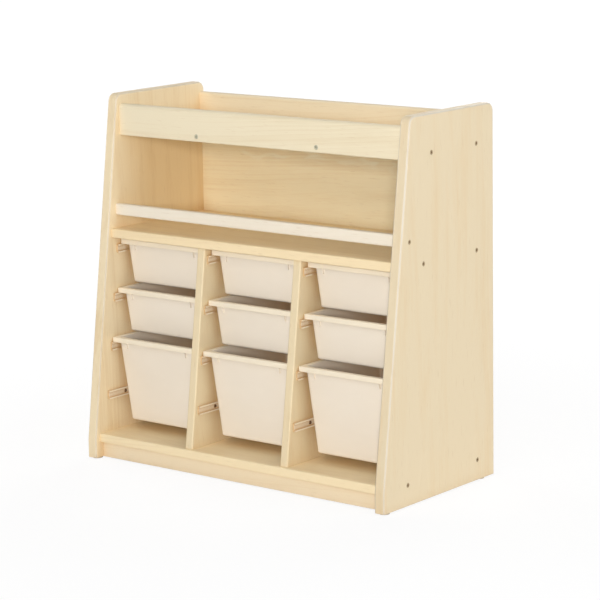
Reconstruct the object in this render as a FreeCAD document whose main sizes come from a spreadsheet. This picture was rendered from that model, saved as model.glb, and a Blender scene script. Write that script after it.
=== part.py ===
import FreeCAD, Part
import os
import re
import Sketcher

# Tray cabinet for children: slanted side panels, a book compartment over three columns of pull-out trays.
# Millimetres, +X to the right, +Y to the back, +Z up, origin on the floor under the middle of the cabinet.

doc = FreeCAD.newDocument("TrayCabinet")

columns = ("left", "centre", "right")
tray_levels = ("top", "middle", "bottom")
runner_levels = ("top", "middle", "bottom", "spare")
same_place_share = 1e-6

# Driving sizes, piece by piece
sizes = {
    # Whole cabinet: the front edge stands upright up to the toe height and then leans back
    "overall_width": 816,
    "overall_height": 800,
    "base_depth": 395,
    "slant_run": 102,
    "toe_height": 43,
    # Side panels
    "side_thickness": 25,
    "side_round": 4.5,
    "corner_round": 18,
    "toe_blend": 60,
    "rebate_depth": 9,
    # Boards between the side panels
    "board_thickness": 20,
    "board_round": 3,
    "board_setback": 12,
    "divider_setback": 20,
    "bottom_height": 36.5,
    "level_pitch": 107.5,
    "top_drop": 89.5,
    "back_thickness": 9,
    "back_gap": 2.5,
    "kick_setback": 23,
    # Lip in front of the top board and rail behind it
    "lip_thickness": 20,
    "lip_height": 67.5,
    "lip_overhang": 1.5,
    "lip_setback": 19,
    "lip_round": 9,
    "rail_thickness": 15,
    "rail_round": 6,
    # Retaining bar of the book compartment
    "bar_width": 25.5,
    "bar_thickness": 15,
    "bar_round": 3.5,
    "bar_rise": 41.5,
    "bar_setback": 27.5,
    # Glides under the side panels
    "glide_height": 3,
    "glide_diameter": 22,
    "glide_front_setback": 18,
    "glide_rear_setback": 39,
    # Socket-head screws through the side panels and the lip
    "screw_head_diameter": 10,
    "screw_head_height": 3,
    "screw_diameter": 6.5,
    "screw_length": 50,
    "screw_socket_width": 5,
    "screw_socket_depth": 2,
    "screw_front_setback": 82,
    "screw_rear_setback": 63,
    "lip_screw_spacing": 325,
    # Dowels
    "dowel_diameter": 8,
    "dowel_length": 30,
    "dowel_socket_depth": 12,
    "dowel_setback": 60,
    # Channel runners
    "runner_height": 18.5,
    "runner_depth": 6.5,
    "runner_web": 3,
    "runner_flange": 3,
    "runner_setback": 29.5,
    "runner_head_gap": 16.5,
    # Moulded trays, hung by their rims
    "tray_side_gap": 2,
    "tray_flange": 9,
    "tray_rim_height": 11,
    "tray_wall": 2.5,
    "tray_round": 10,
    "rim_round": 3,
    "tray_rear_gap": 5.5,
    "shallow_floor_gap": 10,
    "deep_floor_gap": 21.5,
    "shallow_setback": 39,
    "deep_setback": 32,
    "rib_thickness": 3,
    "rib_height": 24,
    "rib_tip": 5,
    "rib_inset": 25,
    # Draft of the tray walls in degrees, and the play left around pieces that fit into others
    "tray_draft_angle": 4.7,
    "fit_clearance": 0.2,
}


def front_at(height):
    return "slant_share * (%s - toe_height)" % height


# Places and sizes that follow from the driving ones, measured from the front of the toe and from the floor
derived = {
    "slant_share": "slant_run / (overall_height - toe_height)",
    "front_to_middle": "-base_depth / 2",
    "outer_left": "-overall_width / 2",
    "inner_width": "overall_width - 2 * side_thickness",
    "inner_left": "-inner_width / 2",
    "inner_right": "inner_width / 2",
    "column_width": "(inner_width - %d * board_thickness) / %d" % (len(columns) - 1, len(columns)),
    "divider_left_face": "inner_left + column_width",
    "divider_middle": "divider_left_face + board_thickness / 2",
    # Heights of the boards
    "bottom_top": "bottom_height + board_thickness",
    "shelf_under": "bottom_top + %d * level_pitch" % len(runner_levels),
    "shelf_top": "shelf_under + board_thickness",
    "top_height": "overall_height - top_drop",
    "top_top": "top_height + board_thickness",
    "lip_top": "top_height + lip_height",
    "lip_low": "top_height - lip_overhang",
    "bar_height": "shelf_top + bar_rise",
    # Fronts and backs of the boards
    "rear_plane": "base_depth - back_gap",
    "back_front": "rear_plane - back_thickness",
    "bottom_front": front_at("bottom_top") + " + board_setback",
    "shelf_front": front_at("shelf_under") + " + board_setback",
    "divider_foot": front_at("bottom_top") + " + divider_setback",
    "divider_head": front_at("shelf_under") + " + divider_setback",
    "lip_front": front_at("top_height") + " + lip_setback",
    "lip_back": "lip_front + lip_thickness",
    "rail_front": "rear_plane - rail_thickness",
    "kick_back": "kick_setback + board_thickness",
    "bar_centre": front_at("bar_height") + " + bar_setback",
    "bar_front": "bar_centre - bar_thickness / 2",
    "bar_back": "bar_centre + bar_thickness / 2",
    "bar_low": "bar_height - bar_width / 2",
    "bar_high": "bar_height + bar_width / 2",
    # Back panel in the rebates of the side panels
    "back_left": "inner_left - rebate_depth + fit_clearance",
    "back_right": "inner_right + rebate_depth - fit_clearance",
    "back_height": "top_height - bottom_height",
    # Screws through the side panels and the lip
    "top_screw_height": "top_height + board_thickness / 2",
    "shelf_screw_height": "shelf_under + board_thickness / 2",
    "bottom_screw_height": "bottom_height + board_thickness / 2",
    "top_screw_front": front_at("top_screw_height") + " + screw_front_setback",
    "shelf_screw_front": front_at("shelf_screw_height") + " + screw_front_setback",
    "bottom_screw_front": front_at("bottom_screw_height") + " + screw_front_setback",
    "screw_rear": "base_depth - screw_rear_setback",
    # Dowels of the dividers, the rail and the kickboard
    "dowel_low_front": "divider_foot + dowel_setback",
    "dowel_high_front": "divider_head + dowel_setback",
    "dowel_rear": "back_front - dowel_setback",
    "rail_dowel_depth": "rail_front + rail_thickness / 2",
    "rail_dowel_height": "(top_top + lip_top) / 2",
    "kick_dowel_depth": "kick_setback + board_thickness / 2",
    "kick_dowel_height": "(glide_height + bottom_height) / 2",
    # Glides
    "glide_rear": "base_depth - glide_rear_setback",
    "glide_middle": "outer_left + side_thickness / 2",
    # Runners, as long as the trays are deep
    "runner_length": "tray_depth",
    "runner_inner_top": "runner_height - runner_flange",
    # Trays: the top ones reach to the back panel, and all stay clear of what is under them
    "tray_depth": "back_front - tray_rear_gap - shallow_setback - " + front_at("rim_top_top"),
    "shallow_height": "level_pitch - shallow_floor_gap",
    "deep_height": "rim_top_bottom - bottom_top - deep_floor_gap",
    # Trays, measured from the middle of the rim's top
    "rim_width": "column_width - 2 * tray_side_gap",
    "rim_left": "-rim_width / 2",
    "rim_right": "rim_width / 2",
    "rim_front": "-tray_depth / 2",
    "rim_back": "tray_depth / 2",
    "skirt_left": "rim_left + tray_wall",
    "skirt_right": "rim_right - tray_wall",
    "skirt_front": "rim_front + tray_wall",
    "skirt_back": "rim_back - tray_wall",
    "tray_left": "rim_left + tray_flange",
    "tray_right": "rim_right - tray_flange",
    "tray_front": "rim_front + tray_flange",
    "tray_back": "rim_back - tray_flange",
    "hollow_left": "tray_left + tray_wall",
    "hollow_right": "tray_right - tray_wall",
    "hollow_front": "tray_front + tray_wall",
    "hollow_back": "tray_back - tray_wall",
    "hollow_round": "tray_round - tray_wall",
    "shallow_hollow": "shallow_height - tray_wall",
    "deep_hollow": "deep_height - tray_wall",
    # Ribs under the front and back of the rim
    "rib_place": "tray_right - rib_inset - rib_thickness / 2",
    "rib_top": "-tray_wall / 2",
    "rib_bottom": "-rib_height",
    "rib_front_root": "tray_front + tray_wall / 2",
    "rib_back_root": "tray_back - tray_wall / 2",
    "rib_front_toe": "rib_front_root + rib_height * tan(tray_draft_angle)",
    "rib_back_toe": "rib_back_root - rib_height * tan(tray_draft_angle)",
    "rib_front_tip": "rib_front_toe - rib_tip",
    "rib_back_tip": "rib_back_toe + rib_tip",
}
for level, name in enumerate(runner_levels):
    derived["runner_top_" + name] = "shelf_under - runner_head_gap - %d * level_pitch" % level
    derived["runner_front_" + name] = front_at("runner_top_" + name) + " + runner_setback"
for name in tray_levels:
    setback = "deep_setback" if name == "bottom" else "shallow_setback"
    derived["rim_top_" + name] = "runner_top_%s + tray_rim_height" % name
    derived["tray_middle_" + name] = "%s + %s + tray_depth / 2" % (front_at("rim_top_" + name), setback)
for index, name in enumerate(columns):
    derived["column_left_" + name] = "inner_left + %d * (column_width + board_thickness)" % index
    derived["column_right_" + name] = "column_left_%s + column_width" % name
    derived["column_middle_" + name] = "column_left_%s + column_width / 2" % name


def with_sheet(formula):
    def owner(match):
        word = match.group(0)
        if word in sizes:
            return "Sizes." + word
        if word in derived:
            return "Places." + word
        return word
    return re.sub(r"[a-z][a-z_]+", owner, formula)


def make_sheet(name, rows):
    sheet = doc.addObject("Spreadsheet::Sheet", name)
    for row, (alias, content) in enumerate(rows.items(), start=1):
        sheet.set("A%d" % row, alias)
        sheet.set("B%d" % row, content)
        sheet.setAlias("B%d" % row, alias)
    return sheet


size_sheet = make_sheet("Sizes", {alias: str(number) for alias, number in sizes.items()})
doc.recompute()
place_sheet = make_sheet("Places", {})
for row, alias in enumerate(derived, start=1):
    place_sheet.set("A%d" % row, alias)
    place_sheet.setAlias("B%d" % row, alias)
for row, formula in enumerate(derived.values(), start=1):
    place_sheet.set("B%d" % row, "=" + with_sheet(formula))
doc.recompute()


def length(alias):
    sheet = size_sheet if alias in sizes else place_sheet
    return float(getattr(sheet, alias))


def bind(thing, name, formula):
    thing.setExpression(name, with_sheet(formula))


def same(first, second):
    return abs(first - second) < same_place_share * length("overall_width")


# Helpers for bodies made of sketched features
def new_body(label, x="0", y="front_to_middle", z="0"):
    body = doc.addObject("PartDesign::Body", label)
    body.Label = label
    bind(body, "Placement.Base.x", x)
    bind(body, "Placement.Base.y", y)
    bind(body, "Placement.Base.z", z)
    return body


def new_sketch(body, role, offset="0"):
    sketch = body.newObject("Sketcher::SketchObject", body.Name + "_sketch")
    plane = next(item for item in body.Origin.OriginFeatures if item.Role == role)
    sketch.AttachmentSupport = [(plane, "")]
    sketch.MapMode = "FlatFace"
    bind(sketch, "AttachmentOffset.Base.z", offset)
    return sketch


def fix_point(sketch, geometry, point, place):
    for kind, axis, alias in (("DistanceX", -2, place[0]), ("DistanceY", -1, place[1])):
        if alias == "0":
            sketch.addConstraint(Sketcher.Constraint("PointOnObject", geometry, point, axis))
        else:
            index = sketch.addConstraint(Sketcher.Constraint(kind, -1, 1, geometry, point, length(alias)))
            bind(sketch, "Constraints[%d]" % index, alias)


def spot(place):
    values = [0 if alias == "0" else length(alias) for alias in place]
    return FreeCAD.Vector(values[0], values[1], 0)


def draw_outline(sketch, corners):
    first = sketch.GeometryCount
    count = len(corners)
    for index in range(count):
        start = spot(corners[index])
        end = spot(corners[(index + 1) % count])
        sketch.addGeometry(Part.LineSegment(start, end), False)
    for index in range(count):
        following = first + (index + 1) % count
        sketch.addConstraint(Sketcher.Constraint("Coincident", first + index, 2, following, 1))
    for index, corner in enumerate(corners):
        fix_point(sketch, first + index, 1, corner)


def draw_rectangle(sketch, left, right, low, high):
    draw_outline(sketch, [(left, low), (right, low), (right, high), (left, high)])


def pad(body, sketch, distance, backwards=False):
    feature = body.newObject("PartDesign::Pad", body.Name + "_pad")
    feature.Profile = sketch
    feature.Reversed = backwards
    bind(feature, "Length", distance)
    doc.recompute()


def pocket(body, sketch, depth, backwards=False):
    before = body.Tip.Shape.Volume
    feature = body.newObject("PartDesign::Pocket", body.Name + "_pocket")
    feature.Profile = sketch
    feature.Reversed = backwards
    bind(feature, "Length", depth)
    doc.recompute()
    if feature.Shape.isNull() or feature.Shape.Volume >= before:
        raise RuntimeError("%s cuts nothing" % feature.Name)


def mirror_sideways(body, original):
    before = body.Tip.Shape.Volume
    feature = body.newObject("PartDesign::Mirrored", body.Name + "_mirrored")
    feature.Originals = [original]
    plane = next(item for item in body.Origin.OriginFeatures if item.Role == "YZ_Plane")
    feature.MirrorPlane = (plane, [""])
    body.Tip = feature
    doc.recompute()
    if same(feature.Shape.Volume, before):
        raise RuntimeError("%s changes nothing" % feature.Name)


def round_edges(body, radius, wanted):
    base = body.Tip
    names = ["Edge%d" % number for number, edge in enumerate(base.Shape.Edges, start=1) if wanted(edge)]
    feature = body.newObject("PartDesign::Fillet", body.Name + "_round")
    feature.Base = (base, names)
    bind(feature, "Radius", radius)
    doc.recompute()


def draft_walls(body, angle, backwards, wanted):
    base = body.Tip
    names = ["Face%d" % number for number, face in enumerate(base.Shape.Faces, start=1) if wanted(face)]
    feature = body.newObject("PartDesign::Draft", body.Name + "_draft")
    feature.Base = (base, names)
    plane = next(item for item in body.Origin.OriginFeatures if item.Role == "XY_Plane")
    feature.NeutralPlane = (plane, [""])
    feature.Reversed = backwards
    bind(feature, "Angle", angle)
    doc.recompute()


def lies_at(edge, **planes):
    points = [vertex.Point for vertex in edge.Vertexes]
    for axis, alias in planes.items():
        if not all(same(getattr(point, axis), length(alias)) for point in points):
            return False
    return True


def runs_between(shape, low, high):
    heights = sorted(vertex.Point.z for vertex in shape.Vertexes)
    return same(heights[0], low) and same(heights[-1], high)


# Fasteners, each drawn once along +Z from the end that goes in last, and the bores that take them.
# They repeat a lot and are small, so they have flat sides.
def make_prism(name, sides, radius, height, start="0"):
    prism = doc.addObject("Part::Prism", name)
    prism.Polygon = sides
    bind(prism, "Circumradius", radius)
    bind(prism, "Height", height)
    bind(prism, "Placement.Base.z", start)
    return prism


def join(name, kind, first, second):
    joined = doc.addObject(kind, name)
    joined.Base = first
    joined.Tool = second
    return joined


head_sides = 10
shank_sides = 6
dowel_sides = 8
screw_head = make_prism("screw_head", head_sides, "screw_head_diameter / 2", "screw_head_height")
screw_shank = make_prism("screw_shank", shank_sides, "screw_diameter / 2", "screw_length")
screw_socket = make_prism("screw_socket", shank_sides, "screw_socket_width / 2", "screw_socket_depth")
screw_blank = join("screw_blank", "Part::Fuse", screw_head, screw_shank)
screw = join("screw", "Part::Cut", screw_blank, screw_socket)
screw_seat = make_prism("screw_seat", head_sides, "screw_head_diameter / 2 + fit_clearance",
                        "screw_head_height")
screw_hole = make_prism("screw_hole", shank_sides, "screw_diameter / 2 + fit_clearance",
                        "screw_length + fit_clearance")
screw_bore = join("screw_bore", "Part::Fuse", screw_seat, screw_hole)
dowel = make_prism("dowel", dowel_sides, "dowel_diameter / 2", "dowel_length")
dowel_bore = make_prism("dowel_bore", dowel_sides, "dowel_diameter / 2 + fit_clearance",
                        "dowel_length + 2 * fit_clearance", "-fit_clearance")
glide = doc.addObject("Part::Cylinder", "glide")
bind(glide, "Radius", "glide_diameter / 2")
bind(glide, "Height", "glide_height")
doc.recompute()


# A place is a point, measured from the front of the toe and the floor, with the way in which the piece points
def place_at(x, y, z, direction):
    return FreeCAD.Vector(x, y, z), FreeCAD.Vector(*direction)


def set_copies(master, places):
    copies = []
    for point, direction in places:
        turn = FreeCAD.Rotation(FreeCAD.Vector(0, 0, 1), direction)
        copy = master.Shape.copy()
        copy.Placement = FreeCAD.Placement(point, turn).multiply(copy.Placement)
        copies.append(copy)
    return copies


def place_group(label, shapes):
    group = doc.addObject("Part::Feature", label)
    group.Label = label
    group.Shape = Part.makeCompound(shapes)
    group.Placement.Base = FreeCAD.Vector(0, length("front_to_middle"), 0)
    return group


def bore(label, blank, shapes):
    bored = join(label, "Part::Cut", blank, place_group(label + "_bores", shapes))
    bored.Label = label
    doc.recompute()
    if bored.Shape.isNull() or bored.Shape.Volume >= blank.Shape.Volume:
        raise RuntimeError("%s isn't bored" % label)
    return bored


# Places of the fasteners
panel_holes = [
    ("top_screw_front", "top_screw_height"),
    ("screw_rear", "top_screw_height"),
    ("bar_centre", "bar_height"),
    ("shelf_screw_front", "shelf_screw_height"),
    ("screw_rear", "shelf_screw_height"),
    ("bottom_screw_front", "bottom_screw_height"),
    ("screw_rear", "bottom_screw_height"),
]
left_screws = []
right_screws = []
for depth, height in panel_holes:
    left_screws.append(place_at(length("outer_left"), length(depth), length(height), (1, 0, 0)))
    right_screws.append(place_at(-length("outer_left"), length(depth), length(height), (-1, 0, 0)))
lip_screws = []
for half in (-length("lip_screw_spacing") / 2, length("lip_screw_spacing") / 2):
    lip_screws.append(place_at(half, length("lip_front"), length("top_screw_height"), (0, 1, 0)))


def end_dowels(depth, height):
    outer = length("inner_left") - length("dowel_socket_depth")
    return [place_at(outer, length(depth), length(height), (1, 0, 0)),
            place_at(-outer, length(depth), length(height), (-1, 0, 0))]


rail_dowels = end_dowels("rail_dowel_depth", "rail_dowel_height")
kick_dowels = end_dowels("kick_dowel_depth", "kick_dowel_height")
divider_dowels = []
dowel_foot = length("bottom_top") - length("dowel_socket_depth")
dowel_head = length("shelf_under") + length("dowel_socket_depth")
for side in (length("divider_middle"), -length("divider_middle")):
    for depth in ("dowel_low_front", "dowel_rear"):
        divider_dowels.append(place_at(side, length(depth), dowel_foot, (0, 0, 1)))
    for depth in ("dowel_high_front", "dowel_rear"):
        divider_dowels.append(place_at(side, length(depth), dowel_head, (0, 0, -1)))
glides = []
for side in (length("glide_middle"), -length("glide_middle")):
    for depth in ("glide_front_setback", "glide_rear"):
        glides.append(place_at(side, length(depth), 0, (0, 0, 1)))
screw_bores = set_copies(screw_bore, left_screws + right_screws + lip_screws)
end_dowel_bores = set_copies(dowel_bore, rail_dowels + kick_dowels)
divider_dowel_bores = set_copies(dowel_bore, divider_dowels)


# Side panels: leaning front, rounded corners and edges, and a rebate for the back panel
def make_side_panel(label):
    body = new_body(label + "_blank")
    profile = new_sketch(body, "YZ_Plane", "outer_left")
    draw_outline(profile, [
        ("0", "glide_height"),
        ("base_depth", "glide_height"),
        ("base_depth", "overall_height"),
        ("slant_run", "overall_height"),
        ("0", "toe_height"),
    ])
    pad(body, profile, "side_thickness")
    round_edges(body, "corner_round", lambda edge: lies_at(edge, y="slant_run", z="overall_height")
                or lies_at(edge, y="base_depth", z="overall_height"))
    round_edges(body, "toe_blend", lambda edge: lies_at(edge, z="toe_height"))
    round_edges(body, "side_round", lambda edge: not lies_at(edge, z="glide_height")
                and (lies_at(edge, x="outer_left") or lies_at(edge, x="inner_left")))
    rebate = new_sketch(body, "YZ_Plane", "inner_left")
    draw_rectangle(rebate, "back_front", "base_depth", "glide_height", "top_height")
    pocket(body, rebate, "rebate_depth")
    return bore(label, body, set_copies(screw_bore, left_screws) + end_dowel_bores)


def mirrored_copy(label, source):
    copy = doc.addObject("Part::Mirroring", label)
    copy.Label = label
    copy.Source = source
    copy.Normal = FreeCAD.Vector(1, 0, 0)
    doc.recompute()
    return copy


side_panel_left = make_side_panel("side_panel_left")
side_panel_right = mirrored_copy("side_panel_right", side_panel_left)


# Boards that lie flat between the side panels
def make_flat_board(label, front, back, underside):
    body = new_body(label)
    plan = new_sketch(body, "XY_Plane", underside)
    draw_rectangle(plan, "inner_left", "inner_right", front, back)
    pad(body, plan, "board_thickness")
    return body


bottom_blank = make_flat_board("bottom_blank", "bottom_front", "back_front", "bottom_height")
round_edges(bottom_blank, "board_round", lambda edge: lies_at(edge, y="bottom_front", z="bottom_top")
            or lies_at(edge, y="bottom_front", z="bottom_height"))
bottom_board = bore("bottom_board", bottom_blank, screw_bores + divider_dowel_bores)

shelf_blank = make_flat_board("shelf_blank", "shelf_front", "back_front", "shelf_under")
round_edges(shelf_blank, "board_round", lambda edge: lies_at(edge, y="shelf_front", z="shelf_top")
            or lies_at(edge, y="shelf_front", z="shelf_under"))
middle_shelf = bore("middle_shelf", shelf_blank, screw_bores + divider_dowel_bores)

top_blank = make_flat_board("top_blank", "lip_back", "rear_plane", "top_height")
top_board = bore("top_board", top_blank, screw_bores)


# Strips that run from side panel to side panel with one cross section
def make_strip(label, front, back, low, high):
    body = new_body(label)
    section = new_sketch(body, "YZ_Plane", "inner_left")
    draw_rectangle(section, front, back, low, high)
    pad(body, section, "inner_width")
    return body


lip_blank = make_strip("lip_blank", "lip_front", "lip_back", "lip_low", "lip_top")
round_edges(lip_blank, "lip_round", lambda edge: lies_at(edge, y="lip_front", z="lip_top")
            or lies_at(edge, y="lip_back", z="lip_top"))
round_edges(lip_blank, "board_round", lambda edge: lies_at(edge, y="lip_front", z="lip_low"))
top_lip = bore("top_lip", lip_blank, screw_bores)

rail_blank = make_strip("rail_blank", "rail_front", "rear_plane", "top_top", "lip_top")
round_edges(rail_blank, "rail_round", lambda edge: lies_at(edge, y="rail_front", z="lip_top")
            or lies_at(edge, y="rear_plane", z="lip_top"))
back_rail = bore("back_rail", rail_blank, end_dowel_bores)

kick_blank = make_strip("kick_blank", "kick_setback", "kick_back", "glide_height", "bottom_height")
kickboard = bore("kickboard", kick_blank, end_dowel_bores)

bar_blank = make_strip("bar_blank", "bar_front", "bar_back", "bar_low", "bar_high")
round_edges(bar_blank, "bar_round", lambda edge: not lies_at(edge, x="inner_left")
            and not lies_at(edge, x="inner_right"))
retaining_bar = bore("retaining_bar", bar_blank, screw_bores)

# Back panel, glued into the rebates
back_panel = new_body("back_panel")
back_plan = new_sketch(back_panel, "XY_Plane", "bottom_height")
draw_rectangle(back_plan, "back_left", "back_right", "back_front", "rear_plane")
pad(back_panel, back_plan, "back_height")


# Dividers, with fronts that follow the lean of the side panels
def make_divider(label):
    body = new_body(label + "_blank")
    profile = new_sketch(body, "YZ_Plane", "divider_left_face")
    draw_outline(profile, [
        ("divider_foot", "bottom_top"),
        ("back_front", "bottom_top"),
        ("back_front", "shelf_under"),
        ("divider_head", "shelf_under"),
    ])
    pad(body, profile, "board_thickness")
    round_edges(body, "board_round", lambda edge: not lies_at(edge, y="back_front")
                and runs_between(edge, length("bottom_top"), length("shelf_under")))
    return bore(label, body, divider_dowel_bores)


divider_left = make_divider("divider_left")
divider_right = mirrored_copy("divider_right", divider_left)
finished = [
    side_panel_left, side_panel_right, top_board, top_lip, back_rail, back_panel, retaining_bar,
    middle_shelf, divider_left, divider_right, bottom_board, kickboard,
]


# Runners: channels screwed to the walls of each column, open to the middle of the column
def make_runner(column, level, hand):
    side = "column_%s_%s" % (hand, column)
    front = "front_to_middle + runner_front_" + level
    if hand == "right":
        front += " + runner_length"
    underside = "runner_top_%s - runner_height" % level
    body = new_body("runner_%s_%s_%s" % (column, level, hand), side, front, underside)
    if hand == "right":
        body.Placement.Rotation = FreeCAD.Rotation(FreeCAD.Vector(0, 0, 1), 180)
    section = new_sketch(body, "XZ_Plane")
    draw_outline(section, [
        ("0", "0"),
        ("runner_depth", "0"),
        ("runner_depth", "runner_flange"),
        ("runner_web", "runner_flange"),
        ("runner_web", "runner_inner_top"),
        ("runner_depth", "runner_inner_top"),
        ("runner_depth", "runner_height"),
        ("0", "runner_height"),
    ])
    pad(body, section, "runner_length", True)
    return body


for column in columns:
    for level in runner_levels:
        for hand in ("left", "right"):
            finished.append(make_runner(column, level, hand))


# Trays: a tapered, rounded tub hung from a skirted rim, with ribs under the front and the back of the rim
def make_tray(column, level, height, hollow):
    body = new_body("tray_%s_%s" % (column, level), "column_middle_" + column,
                    "front_to_middle + tray_middle_" + level, "rim_top_" + level)
    tub = new_sketch(body, "XY_Plane")
    draw_rectangle(tub, "tray_left", "tray_right", "tray_front", "tray_back")
    pad(body, tub, height, True)
    rim = new_sketch(body, "XY_Plane")
    draw_rectangle(rim, "rim_left", "rim_right", "rim_front", "rim_back")
    pad(body, rim, "tray_wall", True)
    skirt = new_sketch(body, "XY_Plane")
    draw_rectangle(skirt, "rim_left", "rim_right", "rim_front", "rim_back")
    draw_rectangle(skirt, "skirt_left", "skirt_right", "skirt_front", "skirt_back")
    pad(body, skirt, "tray_rim_height", True)
    cavity = new_sketch(body, "XY_Plane")
    draw_rectangle(cavity, "hollow_left", "hollow_right", "hollow_front", "hollow_back")
    pocket(body, cavity, hollow)
    rim_under = -length("tray_wall")
    skirt_under = -length("tray_rim_height")
    draft_walls(body, "tray_draft_angle", False, lambda face: runs_between(face, -length(hollow), 0))
    draft_walls(body, "tray_draft_angle", True, lambda face: runs_between(face, -length(height), rim_under))
    round_edges(body, "hollow_round", lambda edge: runs_between(edge, -length(hollow), 0))
    round_edges(body, "tray_round", lambda edge: runs_between(edge, -length(height), rim_under))
    round_edges(body, "rim_round", lambda edge: runs_between(edge, skirt_under, 0))
    ribs = new_sketch(body, "YZ_Plane", "rib_place")
    for end in ("front", "back"):
        draw_outline(ribs, [
            ("skirt_" + end, "rib_top"),
            ("rib_%s_root" % end, "rib_top"),
            ("rib_%s_toe" % end, "rib_bottom"),
            ("rib_%s_tip" % end, "rib_bottom"),
        ])
    pad(body, ribs, "rib_thickness")
    mirror_sideways(body, body.Tip)
    return body


for column in columns:
    for level in tray_levels:
        if level == "bottom":
            finished.append(make_tray(column, level, "deep_height", "deep_hollow"))
        else:
            finished.append(make_tray(column, level, "shallow_height", "shallow_hollow"))


# Groups of separate solids: fasteners and glides
for label, master, places in (
    ("side_screws", screw, left_screws + right_screws),
    ("lip_screws", screw, lip_screws),
    ("wood_dowels", dowel, divider_dowels + rail_dowels + kick_dowels),
    ("foot_glides", glide, glides),
):
    finished.append(place_group(label, set_copies(master, places)))

# Check every feature, then write one file for each finished piece
doc.recompute()
faulty = [item.Name for item in doc.Objects if "Invalid" in item.State or "Error" in item.State]
faulty += [item.Name for item in finished if item.Shape.isNull() or not item.Shape.isValid()]
if faulty:
    raise RuntimeError("Faulty objects: " + ", ".join(faulty))
os.makedirs("parts", exist_ok=True)
for item in finished:
    item.Shape.exportStep("parts/%s.step" % item.Label)
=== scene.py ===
import math

import bmesh
import bpy
from mathutils import Matrix, Vector


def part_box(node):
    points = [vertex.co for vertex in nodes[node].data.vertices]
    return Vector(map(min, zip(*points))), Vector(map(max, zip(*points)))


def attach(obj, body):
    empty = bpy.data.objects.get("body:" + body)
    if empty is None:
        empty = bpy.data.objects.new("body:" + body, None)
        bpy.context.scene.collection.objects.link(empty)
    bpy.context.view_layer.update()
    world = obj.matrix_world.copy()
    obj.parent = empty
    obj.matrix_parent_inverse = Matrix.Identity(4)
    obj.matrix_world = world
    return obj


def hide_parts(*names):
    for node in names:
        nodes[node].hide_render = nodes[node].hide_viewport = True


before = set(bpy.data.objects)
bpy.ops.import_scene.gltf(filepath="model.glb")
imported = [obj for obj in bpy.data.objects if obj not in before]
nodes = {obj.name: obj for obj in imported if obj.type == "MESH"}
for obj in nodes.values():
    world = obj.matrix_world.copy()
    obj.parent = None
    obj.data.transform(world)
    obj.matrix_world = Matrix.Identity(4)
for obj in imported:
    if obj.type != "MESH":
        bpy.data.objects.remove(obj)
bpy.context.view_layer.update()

scene = bpy.context.scene
print("frame loaded:", len(nodes), "nodes")

noiseMiddle = (0.5, 0.5, 0.5)
noiseSpan = (0.3, 0.7)          # where most values of a noise lie
edgeSamples, recessSamples = 4, 6


# node helpers shared by the finishes
def newFinish(name, shaderKind="ShaderNodeBsdfPrincipled"):
    finish = bpy.data.materials.new(name)
    finish.use_nodes = True
    tree = finish.node_tree
    tree.nodes.clear()
    output = tree.nodes.new("ShaderNodeOutputMaterial")
    shader = tree.nodes.new(shaderKind)
    tree.links.new(shader.outputs[0], output.inputs["Surface"])
    return finish, tree, shader


def setInputs(tree, node, inputs):
    for key, value in inputs.items():
        if isinstance(value, bpy.types.NodeSocket):
            tree.links.new(value, node.inputs[key])
        else:
            node.inputs[key].default_value = value


def addNode(tree, kind, inputs=None, **settings):
    node = tree.nodes.new(kind)
    for key, value in settings.items():
        setattr(node, key, value)
    setInputs(tree, node, inputs or {})
    return node


def objectPlace(tree):
    return addNode(tree, "ShaderNodeTexCoord").outputs["Object"]


def splitAxes(tree, vector):
    return addNode(tree, "ShaderNodeSeparateXYZ", {"Vector": vector}).outputs


def stretch(tree, place, scale):
    return addNode(tree, "ShaderNodeMapping", {"Vector": place, "Scale": scale}).outputs["Vector"]


def addMath(tree, operation, first, second, clamp=False):
    node = addNode(tree, "ShaderNodeMath", {0: first, 1: second},
                   operation=operation, use_clamp=clamp)
    return node.outputs[0]


def addVector(tree, operation, first, second):
    return addNode(tree, "ShaderNodeVectorMath", {0: first, 1: second}, operation=operation).outputs


def times(tree, first, second, clamp=False):
    return addMath(tree, "MULTIPLY", first, second, clamp)


def addNoise(tree, place, scale, detail, rough=0.5, twist=0.0):
    return addNode(tree, "ShaderNodeTexNoise", {
        "Vector": stretch(tree, place, scale), "Scale": 1.0,
        "Detail": detail, "Roughness": rough, "Distortion": twist}).outputs


def addRange(tree, value, fromSpan, toSpan=(0.0, 1.0)):
    return addNode(tree, "ShaderNodeMapRange", {
        "Value": value, "From Min": fromSpan[0], "From Max": fromSpan[1],
        "To Min": toSpan[0], "To Max": toSpan[1]}).outputs["Result"]


def addMix(tree, amount, first, second, blend="MIX"):
    # 6, 7 and the output 2 are the colour sockets
    node = addNode(tree, "ShaderNodeMix", {0: amount, 6: first, 7: second},
                   data_type="RGBA", blend_type=blend)
    return node.outputs[2]


def tinted(tree, colour, tone):
    return addMix(tree, 1.0, colour, tone, "MULTIPLY")


def softEdge(tree, radius):
    bevel = addNode(tree, "ShaderNodeBevel", {"Radius": radius}, samples=edgeSamples)
    return bevel.outputs["Normal"]


def paintRecessShade(tree, colour, look, share=1.0):
    # painted shade: where ambient occlusion finds corners and hollows, the colour is tinted to a
    # darker, warmer tone
    opening = addNode(tree, "ShaderNodeAmbientOcclusion", {"Distance": look["recessShadeReach"]},
                      samples=recessSamples).outputs["AO"]
    amount = times(tree, addRange(tree, opening, look["recessShadeSpan"]), share)
    return addMix(tree, amount, colour, tinted(tree, colour, look["recess"]))
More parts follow.
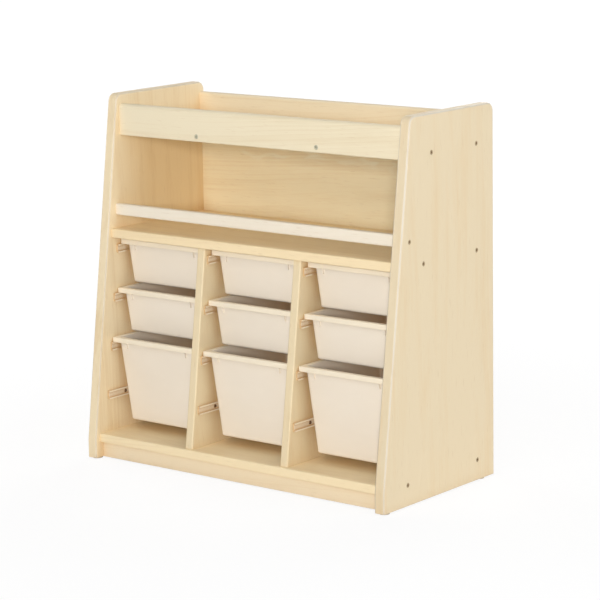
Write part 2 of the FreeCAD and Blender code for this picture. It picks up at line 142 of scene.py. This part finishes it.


# pale lacquered wood: growth rings of a log, fibres, a light flame figure, small flecks
# and a little edge wear with a painted highlight on the edges
woodLook = {
    "pale": (0.860, 0.712, 0.475, 1.0),
    "ring": (0.745, 0.562, 0.325, 1.0),
    "fleck": (0.560, 0.390, 0.210, 1.0),
    # edge wear with a painted highlight: the lighter colour of the edges
    "edge": (0.870, 0.750, 0.550, 1.0),
    "flame": (0.880, 0.765, 0.560, 1.0),
    "lean": (0.05, 0.02),       # of the log, which opens the rings into ovals
    "sway": 0.085,
    "ringScale": 36.0,          # about 9 mm between rings
    "ringStretch": (1.0, 1.0, 0.03),
    "ringWaver": 1.6,
    "ringDetail": (2.0, 1.4),
    "ringPower": 2.0,
    "ringStrength": 0.34,
    "patchSpan": (0.35, 0.65),
    "patchShare": (0.15, 1.0),
    "fibreStrength": 0.16,
    "toneStrength": 0.26,
    "fleckSpan": (0.66, 0.76),
    "fleckStrength": 0.22,
    "fleckDepth": 0.6,
    "flameSpan": (0.54, 0.72),
    "flameStrength": 0.12,
    "flameRise": None,          # heights between which the flames come up
    "flameShare": (0.1, 1.0),
    "edgeRadius": 0.0016,
    "wearAndHighlightSpan": (1.0, 0.8),
    "wearAndHighlight": 0.6,
    # painted shade: the darker, warmer tone that the wood's corners and recesses are tinted to
    "recess": (0.77, 0.59, 0.39, 1.0),
    "recessShadeSpan": (0.62, 0.0),
    "recessShadeReach": 0.05,
    "innerLightAndShade": None,         # painted light at the front and painted shade at the back of the face beside the book compartment
    "innerRun": (-0.125, 0.0),
    "innerSkin": (0.005, 0.001),
    "roundHighlightTone": None,          # painted highlight tone of the roundings along the edges, which dims and whitens the light they catch
    "roughSpan": (0.25, 0.75),
    "rough": (0.40, 0.56),
    "bump": 0.06,
    "bumpHeight": 0.0006,
    "specular": 0.4,
    "coat": 0.08,
    "coatRough": 0.3,
}
woodMarks = {
    # mark: (stretch across and along the log, detail, then roughness and twist where set)
    "sway": ((5.0, 5.0, 0.9), 1.5),
    "patch": ((9.0, 9.0, 1.6), 1.0),
    "flame": ((62.0, 62.0, 15.0), 1.0, 0.5, 0.8),
    "fibre": ((260.0, 260.0, 5.0), 4.0, 0.65),
    "tone": ((34.0, 34.0, 0.9), 2.0),
    "fleck": ((420.0, 420.0, 34.0), 1.0),
}


def cutLog(tree, where, turn, shift, look):
    # the log's axis is z after this turn, and each board is another slice of it
    log = addNode(tree, "ShaderNodeMapping", {
        "Vector": where, "Location": shift, "Rotation": turn}).outputs["Vector"]
    along = splitAxes(tree, log)["Z"]
    sway = addNoise(tree, log, *woodMarks["sway"])["Color"]
    drift = addVector(tree, "SUBTRACT", sway, noiseMiddle)[0]
    drift = addNode(tree, "ShaderNodeVectorMath", {0: drift, "Scale": look["sway"]},
                    operation="SCALE").outputs[0]
    leanX, leanY = (times(tree, along, lean) for lean in look["lean"])
    tilt = addNode(tree, "ShaderNodeCombineXYZ", {"X": leanX, "Y": leanY}).outputs[0]
    bent = addVector(tree, "ADD", addVector(tree, "ADD", log, drift)[0], tilt)[0]
    return log, bent


def growthRings(tree, bent, look):
    detail, detailScale = look["ringDetail"]
    rings = addNode(tree, "ShaderNodeTexWave", {
        "Vector": stretch(tree, bent, look["ringStretch"]), "Scale": look["ringScale"],
        "Distortion": look["ringWaver"], "Detail": detail, "Detail Scale": detailScale,
    }, wave_type="RINGS", rings_direction="Z", wave_profile="SAW").outputs["Fac"]
    return addMath(tree, "POWER", rings, look["ringPower"])


def paintInnerLightAndShade(tree, colour, place, look):
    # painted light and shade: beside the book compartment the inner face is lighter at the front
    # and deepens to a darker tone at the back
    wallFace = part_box("side_panel_left")[1].x
    floorLow, floorHigh = (corner.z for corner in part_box("middle_shelf"))
    roofLow, roofHigh = (corner.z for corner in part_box("top_board"))
    front, back = (tinted(tree, colour, tone) for tone in look["innerLightAndShade"])
    toned = addMix(tree, addRange(tree, place["Y"], look["innerRun"]), front, back)
    amount = addRange(tree, place["X"], [wallFace - depth for depth in look["innerSkin"]])
    amount = times(tree, amount, addRange(tree, place["Z"], (floorLow, floorHigh)))
    amount = times(tree, amount, addRange(tree, place["Z"], (roofLow, roofHigh), (1.0, 0.0)))
    return addMix(tree, amount, colour, toned)


def paintRoundingHighlight(tree, colour, face, tone):
    # painted highlight tone: none on a broad face or an edge, and all of it (so the 4) where the
    # surface turns halfway
    across = splitAxes(tree, face)["X"]
    across = times(tree, across, across)
    remainder = addMath(tree, "SUBTRACT", 1.0, across)
    turned = times(tree, times(tree, across, 4.0), remainder, clamp=True)
    return addMix(tree, turned, colour, tinted(tree, colour, tone))


def makeWood(name, turn, shift, **changes):
    look = dict(woodLook, **changes)
    finish, tree, shader = newFinish(name)
    where = objectPlace(tree)
    place = splitAxes(tree, where)
    log, bent = cutLog(tree, where, turn, shift, look)
    patches, licks, fibres, tones = (addNoise(tree, bent, *woodMarks[mark])["Fac"]
                                     for mark in ("patch", "flame", "fibre", "tone"))
    patches = addRange(tree, patches, look["patchSpan"], look["patchShare"])
    rings = times(tree, growthRings(tree, bent, look), patches)
    flames = addRange(tree, licks, look["flameSpan"], (0.0, look["flameStrength"]))
    flames = times(tree, flames, patches)
    if look["flameRise"]:
        rise = addRange(tree, place["Z"], look["flameRise"], look["flameShare"])
        flames = times(tree, flames, rise)
    flecks = addRange(tree, addNoise(tree, log, *woodMarks["fleck"])["Fac"], look["fleckSpan"])
    # colour
    darken = times(tree, rings, look["ringStrength"])
    for mark, strength, clamp in ((fibres, look["fibreStrength"], False),
                                  (tones, look["toneStrength"], True)):
        streaks = addRange(tree, mark, noiseSpan, (-strength, strength))
        darken = addMath(tree, "ADD", darken, streaks, clamp)
    colour = addMix(tree, darken, look["pale"], look["ring"])
    colour = addMix(tree, flames, colour, look["flame"])
    if look["innerLightAndShade"]:
        colour = paintInnerLightAndShade(tree, colour, place, look)
    colour = addMix(tree, times(tree, flecks, look["fleckStrength"]), colour, look["fleck"])
    rounded = softEdge(tree, look["edgeRadius"])
    face = addNode(tree, "ShaderNodeNewGeometry").outputs["Normal"]
    if look["roundHighlightTone"]:
        colour = paintRoundingHighlight(tree, colour, face, look["roundHighlightTone"])
    # edge wear and painted highlight: the rounded edges turn lighter, patchily with the tone
    # streaks
    flatness = addVector(tree, "DOT_PRODUCT", rounded, face)["Value"]
    edgeWearAndHighlight = times(tree, addRange(tree, flatness, look["wearAndHighlightSpan"], (0.0, look["wearAndHighlight"])), tones)
    colour = addMix(tree, edgeWearAndHighlight, colour, look["edge"])
    height = addMath(tree, "SUBTRACT", fibres, times(tree, flecks, look["fleckDepth"]))
    bump = addNode(tree, "ShaderNodeBump", {
        "Height": height, "Normal": rounded,
        "Strength": look["bump"], "Distance": look["bumpHeight"]})
    setInputs(tree, shader, {
        "Base Color": paintRecessShade(tree, colour, look),
        "Roughness": addRange(tree, fibres, look["roughSpan"], look["rough"]),
        "Normal": bump.outputs["Normal"],
        "Specular IOR Level": look["specular"],
        "Coat Weight": look["coat"],
        "Coat Roughness": look["coatRough"],
    })
    return finish


def dress(nodeName, finish):
    for slot in nodes[nodeName].material_slots:
        slot.material = finish


upright = (0.0, 0.0, 0.0)
lengthwise = (0.0, math.radians(90), 0.0)
boards = {
    # node: (way of the grain, slice of the log, changes)
    "side_panel_left": (upright, (0.46, -0.03, 0.30), {
        "toneStrength": 0.46,
        "fibreStrength": 0.24,
        "roundHighlightTone": (0.78, 0.81, 0.92, 1.0),
        "innerLightAndShade": ((1.11, 1.13, 1.16, 1.0), (0.93, 0.86, 0.74, 1.0)),
    }),
    "side_panel_right": (upright, (-0.33, 0.02, 1.70), {
        # painted shade: a darker wood colour than the left panel's, to offset the lamps that face
        # this panel
        "pale": (0.770, 0.643, 0.438, 1.0),
        "ringStrength": 0.16,
        "toneStrength": 0.36,
        "roundHighlightTone": (0.84, 0.90, 1.10, 1.0),
    }),
    "divider_left": (upright, (0.22, 0.06, 2.10), {"pale": (0.800, 0.662, 0.432, 1.0)}),
    "divider_right": (upright, (-0.05, 0.09, 3.30), {"pale": (0.800, 0.662, 0.432, 1.0)}),
    "top_board": (lengthwise, (-0.66, -0.05, 4.20), {}),
    "top_lip": (lengthwise, (-0.72, 0.17, 5.10), {
        "pale": (0.845, 0.742, 0.535, 1.0),
        "ring": (0.735, 0.592, 0.372, 1.0),
    }),
    "back_rail": (lengthwise, (-0.73, -0.10, 6.40), {"pale": (0.850, 0.725, 0.515, 1.0)}),
    # painted shade: the shelf and the bottom board get warmer, more saturated wood colours, as
    # their horizontal faces look in shade, and the bottom board's painted recess shade is milder
    "middle_shelf": (lengthwise, (-0.43, -0.02, 7.20), {"pale": (0.905, 0.730, 0.458, 1.0)}),
    "bottom_board": (lengthwise, (0.02, 0.05, 8.10), {
        "pale": (0.895, 0.735, 0.470, 1.0),
        "recess": (1.02, 0.88, 0.70, 1.0),
    }),
    "kickboard": (lengthwise, (0.03, 0.26, 9.40), {
        "pale": (0.852, 0.712, 0.500, 1.0),
        "ringStrength": 0.20,
    }),
    "back_panel": (lengthwise, (-0.66, -0.13, 10.30), {
        "pale": (0.885, 0.770, 0.520, 1.0),
        "flame": (0.940, 0.890, 0.690, 1.0),
        "flameStrength": 0.95,
        "flameRise": (0.62, 0.67),
    }),
    "retaining_bar": (lengthwise, (-0.50, 0.13, 11.2), {
        "pale": (0.870, 0.785, 0.645, 1.0),
        "ring": (0.790, 0.675, 0.505, 1.0),
        "ringScale": 34.0,
        "ringStrength": 0.28,
        "toneStrength": 0.14,
        "rough": (0.34, 0.48),
    }),
}
dowelSlice = (0.2, 0.4, 12.0)
dowelLook = {"ringScale": 60.0, "rough": (0.6, 0.75)}

for nodeName, (turn, shift, changes) in boards.items():
    dress(nodeName, makeWood("wood_" + nodeName, turn, shift, **changes))
dress("wood_dowels", makeWood("wood_dowels", upright, dowelSlice, **dowelLook))
print("wood dressed")

# moulded plastic: fine grained skin, faint flow marks and rubbed patches
trayLook = {
    "colour": (0.858, 0.768, 0.645, 1.0),
    "shade": (0.828, 0.733, 0.605, 1.0),
    "thick": (0.885, 0.780, 0.610, 1.0),
    "rough": (0.42, 0.58),
    "grain": 0.10,
    "glow": 0.06,
    # painted shade: a warm brown tint in the tray's hollow and deep corners
    "recess": (1.08, 0.80, 0.52, 1.0),
    "recessShadeSpan": (0.60, 0.10),
    "recessShadeReach": 0.22,
}
runnerLook = {
    "colour": (0.880, 0.775, 0.610, 1.0),
    "shade": (0.840, 0.725, 0.545, 1.0),
    "thick": None,
    "rough": (0.36, 0.52),
    "grain": 0.05,
    "glow": 0.0,
    # painted shade: a brown tint that darkens the runner's channel
    "recess": (0.70, 0.51, 0.31, 1.0),
    "recessShadeSpan": (0.97, 0.65),
    "recessShadeReach": 0.012,
}
glideLook = {
    "colour": (0.620, 0.570, 0.480, 1.0),
    "shade": (0.520, 0.470, 0.390, 1.0),
    "thick": None,
    "rough": (0.40, 0.65),
    "grain": 0.08,
    "glow": 0.0,
    # painted shade in the glide's recesses
    "recess": (0.75, 0.65, 0.50, 1.0),
    "recessShadeSpan": (0.80, 0.0),
    "recessShadeReach": 0.03,
}
plasticSkin = {
    "shadeShare": (0.0, 0.8),
    "edgeRadius": 0.0006,
    "grainHeight": 0.0003,
    "specular": 0.4,
    "glowColour": (1.0, 0.94, 0.86),
    "glowReach": 0.003,
}
plasticMarks = {
    # mark: (stretch on each axis, detail, roughness)
    "flow": ((6.0, 6.0, 14.0), 3.0, 0.55),
    "skin": ((1900.0, 1900.0, 1900.0), 1.0),
    "rub": ((40.0, 40.0, 8.0), 5.0, 0.7),
}


def makePlastic(name, look):
    skin = plasticSkin
    finish, tree, shader = newFinish(name)
    where = objectPlace(tree)
    flow, grain, rubbed = (addNoise(tree, where, *plasticMarks[mark])["Fac"]
                           for mark in ("flow", "skin", "rub"))
    shaded = addRange(tree, flow, noiseSpan, skin["shadeShare"])
    colour = addMix(tree, shaded, look["colour"], look["shade"])
    share = 1.0
    if look["thick"]:
        # the thick rim is creamier, and only the hollow gets the painted shade
        thick, share = (addNode(tree, "ShaderNodeAttribute", attribute_name=layer).outputs["Fac"]
                        for layer in ("thick", "hollowShade"))
        colour = addMix(tree, thick, colour, look["thick"])
    bump = addNode(tree, "ShaderNodeBump", {
        "Height": grain, "Normal": softEdge(tree, skin["edgeRadius"]),
        "Strength": look["grain"], "Distance": skin["grainHeight"]})
    setInputs(tree, shader, {
        "Base Color": paintRecessShade(tree, colour, look, share),
        "Roughness": addRange(tree, rubbed, noiseSpan, look["rough"]),
        "Normal": bump.outputs["Normal"],
        "Specular IOR Level": skin["specular"],
        "Subsurface Weight": look["glow"],
        "Subsurface Radius": skin["glowColour"],
        "Subsurface Scale": skin["glowReach"],
    })
    return finish


trayPlastic = makePlastic("tray_plastic", trayLook)
runnerPlastic = makePlastic("runner_plastic", runnerLook)
dress("foot_glides", makePlastic("glide_plastic", glideLook))
runnerNames = sorted(name for name in nodes if name.startswith("runner_"))
trayNames = sorted(name for name in nodes if name.startswith("tray_"))
for name in runnerNames:
    dress(name, runnerPlastic)
print("plastic dressed")

# screw steel: warm reflections, a few stains and fine turning marks
sideSteelLook = {
    "colour": (0.50, 0.38, 0.23, 1.0),
    "stain": (0.34, 0.25, 0.15, 1.0),
    "stainSpan": (0.4, 0.7),
    "rough": (0.30, 0.50),
    "bump": 0.08,
    "bumpHeight": 0.0002,
    # painted shade: a dark tint in the screw's socket and other recesses
    "recess": (0.20, 0.16, 0.12, 1.0),
    "recessShadeSpan": (0.80, 0.0),
    "recessShadeReach": 0.004,
}
# the lip screws get a lighter painted shade in their sockets
lipSteelLook = dict(sideSteelLook, colour=(0.56, 0.54, 0.42, 1.0), stain=(0.44, 0.42, 0.32, 1.0),
                    recess=(0.45, 0.43, 0.38, 1.0))
panSteelLook = dict(sideSteelLook, colour=(0.24, 0.15, 0.09, 1.0), stain=(0.14, 0.08, 0.05, 1.0))
steelMarks = {
    # mark: (stretch on each axis, detail, roughness)
    "stain": ((420.0, 420.0, 420.0), 4.0, 0.6),
    "turning": ((2600.0, 2600.0, 2600.0), 2.0),
}


def makeSteel(name, look):
    finish, tree, shader = newFinish(name)
    where = objectPlace(tree)
    stains, turned = (addNoise(tree, where, *steelMarks[mark])["Fac"]
                      for mark in ("stain", "turning"))
    colour = addMix(tree, addRange(tree, stains, look["stainSpan"]), look["colour"], look["stain"])
    bump = addNode(tree, "ShaderNodeBump", {
        "Height": turned, "Strength": look["bump"], "Distance": look["bumpHeight"]})
    setInputs(tree, shader, {
        "Base Color": paintRecessShade(tree, colour, look),
        "Roughness": addRange(tree, turned, noiseSpan, look["rough"]),
        "Normal": bump.outputs["Normal"],
        "Metallic": 1.0,
    })
    return finish


sideSteel = makeSteel("side_screw_steel", sideSteelLook)
lipSteel = makeSteel("lip_screw_steel", lipSteelLook)
panSteel = makeSteel("pan_screw_steel", panSteelLook)

sharpAngle = math.radians(34)
weldDistance = 1e-6


# mesh helpers
def addObject(name, data):
    thing = bpy.data.objects.new(name, data)
    scene.collection.objects.link(thing)
    return thing


def makePiece(name, mesh, finish, body):
    data = bpy.data.meshes.new(name)
    bmesh.ops.recalc_face_normals(mesh, faces=mesh.faces)
    mesh.to_mesh(data)
    mesh.free()
    data.materials.append(finish)
    piece = addObject(name, data)
    for polygon in data.polygons:
        polygon.use_smooth = True
    data.set_sharp_from_angle(angle=sharpAngle)
    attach(piece, body)
    return piece


def skinRings(mesh, rings):
    # bands between the rings, and a face over each end
    for lower, upper in zip(rings, rings[1:]):
        count = len(lower)
        for index in range(count):
            following = (index + 1) % count
            mesh.faces.new((lower[index], lower[following], upper[following], upper[index]))
    mesh.faces.new(rings[0])
    mesh.faces.new(rings[-1])


def quarter(count):
    return [math.radians(90) * step / count for step in range(count + 1)]


def facing(place, way, axis="Z"):
    return Matrix.Translation(place) @ way.to_track_quat(axis, "Y").to_matrix().to_4x4()


# trays: one skin lofted through rounded rectangles, from the outside of the floor over the rim
# into the hollow
trayShape = {
    "flange": 0.009,
    "wall": 0.0025,
    "skirt": 0.011,
    "draft": math.radians(4.7),
    "bodyRound": 0.010,
    "rimRound": 0.003,
    "skirtTight": 0.002,        # how much tighter the corners inside the skirt are
    "floorTight": 0.003,        # and those under the floor
    "hollowTight": 0.001,       # and those on the hollow's floor
    "floorRound": 0.0065,
    "floorSpread": 0.0005,      # the flat of the floor reaches this much further out
    "edgeRound": 0.0009,
    "ribInset": 0.025,
    "ribThick": 0.003,
    "ribHeight": 0.024,
    "ribTip": 0.005,
    "cornerSteps": 7,
    "floorSteps": 5,
    "edgeSteps": 3,
    "shadeGain": 1.6,           # how soon the hollow's shade comes up towards the back
}


def roundedOutline(halfWide, halfDeep, radius, steps):
    points = []
    for turn, (signX, signY) in enumerate(((1, 1), (-1, 1), (-1, -1), (1, -1))):
        for step in range(steps + 1):
            angle = math.radians(90) * (turn + step / steps)
            points.append((signX * (halfWide - radius) + radius * math.cos(angle),
                           signY * (halfDeep - radius) + radius * math.sin(angle)))
    return points


def trayStops(floor):
    # each stop: (distance in from the rim's outline, height from the rim's top, corner radius)
    shape = trayShape
    slope = math.tan(shape["draft"])
    flange, wall, skirt = shape["flange"], shape["wall"], shape["skirt"]
    fine, fillet = shape["edgeRound"], shape["floorRound"]
    bodyRound, rimRound = shape["bodyRound"], shape["rimRound"]
    skirtRound = rimRound - shape["skirtTight"]
    inner = flange + wall
    innerFillet = fillet - wall / 2
    hollow = floor + wall
    floorTurn, edgeTurn = quarter(shape["floorSteps"]), quarter(shape["edgeSteps"])
    stops = []
    for angle in floorTurn:
        spread = shape["floorSpread"] * math.cos(angle)
        stops.append((flange - floor * slope + fillet * (1 - math.sin(angle)) - spread,
                      floor + fillet * (1 - math.cos(angle)),
                      bodyRound - shape["floorTight"] * math.cos(angle)))
    stops.append((flange + wall * slope, -wall, bodyRound))
    rimStart = len(stops)
    stops.append((wall, -wall, skirtRound))
    stops.append((wall, -skirt, skirtRound))
    for angle in edgeTurn:
        stops.append((fine * (1 - math.sin(angle)),
                      -skirt + fine * (1 - math.cos(angle)), rimRound))
    for angle in edgeTurn:
        stops.append((fine * (1 - math.cos(angle)), -fine * (1 - math.sin(angle)), rimRound))
    for angle in edgeTurn:
        stops.append((inner - fine * (1 - math.sin(angle)),
                      -fine * (1 - math.cos(angle)), bodyRound - wall))
    hollowStart = len(stops) - 1
    for angle in floorTurn:
        stops.append((inner - hollow * slope + innerFillet * (1 - math.cos(angle)),
                      hollow + innerFillet * (1 - math.sin(angle)),
                      bodyRound - wall - shape["hollowTight"] * math.sin(angle)))
    return stops, rimStart, hollowStart


def addRibs(mesh, middle, top, halfWide, halfDeep):
    # under the rim, front and back
    shape = trayShape
    wall, deep, halfRib = shape["wall"], shape["ribHeight"], shape["ribThick"] / 2
    wallTop = halfDeep - shape["flange"] - wall / 2
    toe = wallTop - deep * math.tan(shape["draft"])
    corners = ((halfDeep - wall, -wall / 2), (wallTop, -wall / 2),
               (toe, -deep), (toe + shape["ribTip"], -deep))
    for side in (-1, 1):
        x = middle.x + side * (halfWide - shape["flange"] - shape["ribInset"])
        for end in (-1, 1):
            faces = []
            for offset in (-halfRib, halfRib):
                faces.append([mesh.verts.new((x + offset, middle.y + end * y, top + z))
                              for y, z in corners])
            skinRings(mesh, faces)


def makeTray(nodeName):
    low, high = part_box(nodeName)
    middle = (low + high) / 2
    halfWide, halfDeep = (high.x - low.x) / 2, (high.y - low.y) / 2
    stops, rimStart, hollowStart = trayStops(low.z - high.z)
    steps, gain = trayShape["cornerSteps"], trayShape["shadeGain"]
    mesh = bmesh.new()
    hollowShade = mesh.verts.layers.float.new("hollowShade")
    thick = mesh.verts.layers.float.new("thick")
    rings = []
    for inset, height, radius in stops:
        outline = roundedOutline(halfWide - inset, halfDeep - inset, radius, steps)
        rings.append([mesh.verts.new((middle.x + x, middle.y + y, high.z + height))
                      for x, y in outline])
    # the finish reads the thick rim, and the hollow's painted shade, which grows towards the back
    for ring in rings[rimStart:hollowStart]:
        for vert in ring:
            vert[thick] = 1.0
    for ring in rings[hollowStart:]:
        for vert in ring:
            vert[hollowShade] = min(1.0, gain * (vert.co.y - low.y) / (high.y - low.y))
    skinRings(mesh, rings)
    addRibs(mesh, middle, high.z, halfWide, halfDeep)
    tray = makePiece(nodeName + "_moulding", mesh, trayPlastic, nodeName)
    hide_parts(nodeName)


for name in trayNames:
    makeTray(name)
print("trays moulded:", len(trayNames))

# socket screws with a rounded head, seated flush with the wood
screwShape = {
    "head": 0.0100,
    "headHigh": 0.003,
    "edge": 0.0007,
    "edgeSteps": 4,
    "shank": 0.0065,
    "long": 0.050,
    "tip": (0.001, 0.002),      # chamfer at the end of the shank
    "socket": 0.0050,
    "socketDeep": 0.002,
    "socketSides": 6,
    "mouth": 0.0003,            # chamfer at the mouth of the socket
    "around": 30,
}


def islandBoxes(nodeName):
    # the corners of each screw that the node holds
    mesh = bmesh.new()
    mesh.from_mesh(nodes[nodeName].data)
    bmesh.ops.remove_doubles(mesh, verts=mesh.verts, dist=weldDistance)
    left = set(mesh.verts)
    found = []
    while left:
        island, queue = set(), [left.pop()]
        while queue:
            vert = queue.pop()
            island.add(vert)
            for edge in vert.link_edges:
                other = edge.other_vert(vert)
                if other in left:
                    left.remove(other)
                    queue.append(other)
        low = Vector([min(vert.co[axis] for vert in island) for axis in range(3)])
        high = Vector([max(vert.co[axis] for vert in island) for axis in range(3)])
        found.append((low, high))
    mesh.free()
    # in order of place, to a hundredth of a millimetre
    return sorted(found, key=lambda pair: tuple(round(value, 5) for value in pair[0]))


def ringOf(mesh, matrix, radius, height, count, sides=None):
    ring = []
    for step in range(count):
        angle = 2 * math.pi * step / count
        reach = radius
        if sides:
            half = math.pi / sides
            reach *= math.cos(half) / math.cos(angle % (2 * half) - half)
        point = Vector((reach * math.cos(angle), reach * math.sin(angle), height))
        ring.append(mesh.verts.new(matrix @ point))
    return ring


def addSocketScrew(mesh, matrix):
    shape = screwShape
    head, shank, socket = shape["head"] / 2, shape["shank"] / 2, shape["socket"] / 2
    edge, mouth, around = shape["edge"], shape["mouth"], shape["around"]
    tipIn, tipLong = shape["tip"]
    stops = [(shank - tipIn, shape["long"]), (shank, shape["long"] - tipLong),
             (shank, shape["headHigh"]), (head, shape["headHigh"])]
    for angle in quarter(shape["edgeSteps"]):
        stops.append((head - edge * (1 - math.cos(angle)), edge * (1 - math.sin(angle))))
    rings = [ringOf(mesh, matrix, wide, height, around) for wide, height in stops]
    for wide, height in ((socket + mouth, 0.0), (socket, mouth), (socket, shape["socketDeep"])):
        rings.append(ringOf(mesh, matrix, wide, height, around, shape["socketSides"]))
    skinRings(mesh, rings)


def makeSocketScrews(nodeName, pieceName, finish):
    mesh = bmesh.new()
    for low, high in islandBoxes(nodeName):
        middle = (low + high) / 2
        if high.y - low.y > high.x - low.x:
            place, way = Vector((middle.x, low.y, middle.z)), Vector((0, 1, 0))
        elif middle.x < 0:
            place, way = Vector((low.x, middle.y, middle.z)), Vector((1, 0, 0))
        else:
            place, way = Vector((high.x, middle.y, middle.z)), Vector((-1, 0, 0))
        addSocketScrew(mesh, facing(place, way))
    screws = makePiece(pieceName, mesh, finish, "cabinet")
    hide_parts(nodeName)


makeSocketScrews("side_screws", "side_socket_screws", sideSteel)
makeSocketScrews("lip_screws", "lip_socket_screws", lipSteel)

# pan screws in the channel of each runner
panScrewShape = {
    "head": 0.0076,
    "high": 0.0022,
    "dome": 0.78,               # share of a quarter turn in the head's outline
    "domeSteps": 5,
    "recess": 0.0009,
    "recessTaper": 0.8,
    "recessDeep": 0.0012,
    "around": 20,
    "fromEnd": 0.054,
    "web": 0.003,
}


def addPanScrew(mesh, matrix):
    shape = panScrewShape
    high, around, recess = shape["high"], shape["around"], shape["recess"]
    crown = math.sin(math.radians(90) * shape["dome"])
    rings = []
    for angle in quarter(shape["domeSteps"]):
        turn = angle * shape["dome"]
        rings.append(ringOf(mesh, matrix, shape["head"] / 2 * math.cos(turn),
                            high * math.sin(turn) / crown, around))
    rings.append(ringOf(mesh, matrix, recess, high, around))
    rings.append(ringOf(mesh, matrix, recess * shape["recessTaper"],
                        high - shape["recessDeep"], around))
    skinRings(mesh, rings)


def makeRunnerScrews():
    shape = panScrewShape
    mesh = bmesh.new()
    for name in runnerNames:
        low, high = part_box(name)
        towards = 1 if name.endswith("_left") else -1
        wallSide = low.x if towards > 0 else high.x
        for y in (low.y + shape["fromEnd"], high.y - shape["fromEnd"]):
            place = Vector((wallSide + towards * shape["web"], y, (low.z + high.z) / 2))
            addPanScrew(mesh, facing(place, Vector((towards, 0, 0))))
    makePiece("runner_pan_screws", mesh, panSteel, "cabinet")


makeRunnerScrews()
print("screws set")

# white sweep that keeps a faint shadow
stageLook = {
    "size": 60.0,
    "floor": (0.96, 0.96, 0.96, 1.0),
    "coverSpan": (0.6, 2.4),    # metres from the middle over which the white takes over
    "cover": (0.84, 1.0),
    "white": (1.0, 1.0, 1.0, 1.0),
    "glow": 1.03,
    "worldLight": 0.05,
}


def seesBackdrop(tree):
    path = addNode(tree, "ShaderNodeLightPath")
    seen = addMath(tree, "MAXIMUM", path.outputs["Is Camera Ray"], path.outputs["Is Glossy Ray"])
    return addMath(tree, "MAXIMUM", seen, path.outputs["Is Transmission Ray"])


def makeFloor():
    mesh = bmesh.new()
    bmesh.ops.create_grid(mesh, x_segments=1, y_segments=1, size=stageLook["size"] / 2)
    data = bpy.data.meshes.new("floor")
    mesh.to_mesh(data)
    mesh.free()
    floor = addObject("floor", data)
    finish, tree, mixed = newFinish("white_floor", "ShaderNodeMixShader")
    paper = addNode(tree, "ShaderNodeBsdfDiffuse", {"Color": stageLook["floor"]})
    glow = addNode(tree, "ShaderNodeEmission", {
        "Color": stageLook["white"], "Strength": stageLook["glow"]})
    distance = addNode(tree, "ShaderNodeVectorMath", {0: objectPlace(tree)}, operation="LENGTH")
    cover = addRange(tree, distance.outputs["Value"], stageLook["coverSpan"], stageLook["cover"])
    amount = times(tree, seesBackdrop(tree), cover)
    setInputs(tree, mixed, {0: amount, 1: paper.outputs[0], 2: glow.outputs[0]})
    data.materials.append(finish)


def makeWorld():
    world = bpy.data.worlds.new("studio")
    scene.world = world
    world.use_nodes = True
    tree = world.node_tree
    tree.nodes.clear()
    strength = addRange(tree, seesBackdrop(tree), (0.0, 1.0), (stageLook["worldLight"], 1.0))
    sky = addNode(tree, "ShaderNodeBackground", {"Color": stageLook["white"], "Strength": strength})
    output = tree.nodes.new("ShaderNodeOutputWorld")
    tree.links.new(sky.outputs[0], output.inputs["Surface"])


lamps = {
    # lamp: (place, aim, width and height in metres, watts)
    "keyBox": ((5.36, -7.22, 2.18), (0.0, 0.0, 0.40), (1.5, 1.5), 452.0),
    "rightBox": ((4.9, 1.2, 1.4), (0.0, 0.0, 0.45), (2.6, 2.6), 70.0),
    "highBox": ((0.8, -3.2, 3.0), (0.0, 0.0, 0.45), (2.2, 2.2), 38.0),
    "topBox": ((1.3, -0.6, 4.3), (0.0, 0.0, 0.60), (3.0, 3.0), 34.0),
    "leftBox": ((-4.6, 0.6, 1.5), (0.0, 0.0, 0.45), (2.4, 2.4), 105.0),
    "backBox": ((-1.2, 4.8, 1.9), (0.0, 0.0, 0.45), (2.4, 2.4), 115.0),
}


def makeLamps():
    for name, (place, aim, (wide, tall), watts) in lamps.items():
        data = bpy.data.lights.new(name, "AREA")
        data.shape = "RECTANGLE"
        data.size = wide
        data.size_y = tall
        data.energy = watts
        lamp = addObject(name, data)
        lamp.matrix_world = facing(place, Vector(aim) - Vector(place), "-Z")


makeFloor()
makeWorld()
makeLamps()
scene.view_settings.view_transform = "Standard"
print("stage lit")

cameraView = {
    "eye": (3.372, -4.161, 1.4255),
    "right": (0.78283, 0.62199, -0.01740),
    "up": (-0.10719, 0.16234, 0.98089),
    "lens": 152.46,
    "sensor": 36.0,
    "far": 200.0,
}


def makeCamera():
    right, up = (Vector(cameraView[way]).normalized() for way in ("right", "up"))
    back = right.cross(up)
    data = bpy.data.cameras.new("camera")
    data.sensor_width = cameraView["sensor"]
    data.lens = cameraView["lens"]
    data.clip_end = cameraView["far"]
    camera = addObject("camera", data)
    turned = Matrix((right, up, back)).transposed().to_4x4()
    camera.matrix_world = Matrix.Translation(cameraView["eye"]) @ turned
    scene.camera = camera


makeCamera()
print("camera placed")
